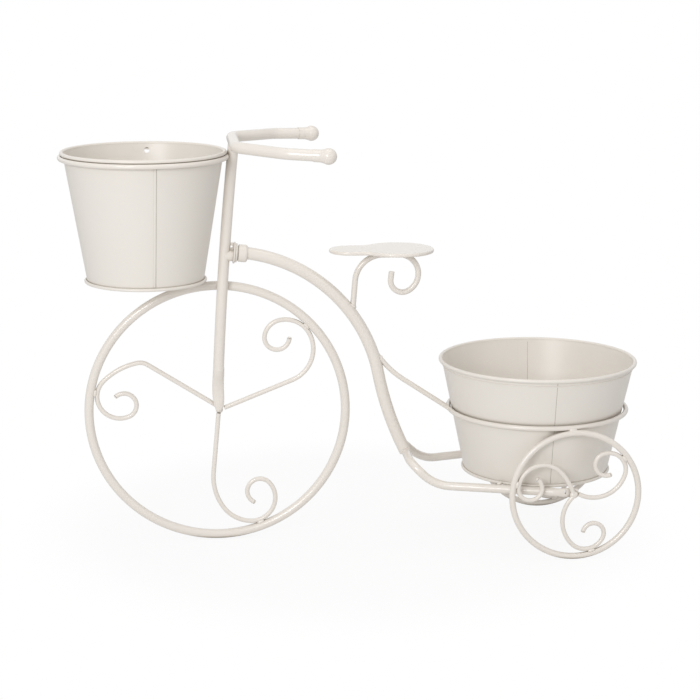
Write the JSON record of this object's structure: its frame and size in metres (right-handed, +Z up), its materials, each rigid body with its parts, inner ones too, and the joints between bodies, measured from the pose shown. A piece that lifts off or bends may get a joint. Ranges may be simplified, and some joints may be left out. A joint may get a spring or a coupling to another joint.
{
  "type": "bicycle plant stand",
  "caption": "Painted steel plant stand shaped like a tricycle, with a scrolled front wheel, saddle, handlebar and lift-out pots at front and rear.",
  "frame": {"origin": "on the floor, under the middle of the overall length and width", "axes": "+X from the big front wheel towards the two rear wheels, +Y away from the viewer of the picture, +Z up"},
  "size_m": [0.5745, 0.2126, 0.4104],
  "materials": {
    "frame_coat": "glossy cream powder coat over welded steel tube, bar and wire",
    "pot_coat": "semi-gloss cream coat over thin sheet steel",
    "bare_steel": "plain turned steel"
  },
  "bodies": {
    "stand": {"front_wheel_ring": "frame_coat", "front_scroll_left": "frame_coat", "front_scroll_right": "frame_coat", "front_scroll_bottom": "frame_coat", "stem": "frame_coat", "handlebar": "frame_coat", "grip_near": "frame_coat", "grip_far": "frame_coat", "front_hoop": "frame_coat", "coupling_stub": "frame_coat", "coupling_web": "frame_coat", "coupling_flange": "frame_coat", "coupling_washer": "frame_coat", "coupling_collar": "frame_coat", "coupling_stud": "bare_steel", "frame_tube": "frame_coat", "lower_frame": "frame_coat", "cross_bar": "frame_coat", "strut": "frame_coat", "saddle_rod": "frame_coat", "saddle": "frame_coat", "cradle_ring": "frame_coat", "rear_wheel_ring_near": "frame_coat", "rear_scroll_near_left": "frame_coat", "rear_scroll_near_right": "frame_coat", "rear_scroll_near_bottom": "frame_coat", "rear_wheel_ring_far": "frame_coat", "rear_scroll_far_left": "frame_coat", "rear_scroll_far_right": "frame_coat", "rear_scroll_far_bottom": "frame_coat"},
    "front_pot": {"front_pot_wall_front_half": "pot_coat", "front_pot_wall_rear_half": "pot_coat", "front_pot_rim": "pot_coat", "front_pot_base": "pot_coat"},
    "rear_pot": {"rear_pot_wall_front_half": "pot_coat", "rear_pot_wall_rear_half": "pot_coat", "rear_pot_rim": "pot_coat", "rear_pot_base": "pot_coat"}
  },
  "joints": [
    {"name": "front_pot_lift", "type": "slide", "parent": "stand", "child": "front_pot", "axis": [0, 0, 1], "range_m": [0, 0.13]},
    {"name": "rear_pot_lift", "type": "slide", "parent": "stand", "child": "rear_pot", "axis": [0, 0, 1], "range_m": [0, 0.075]}
  ]
}
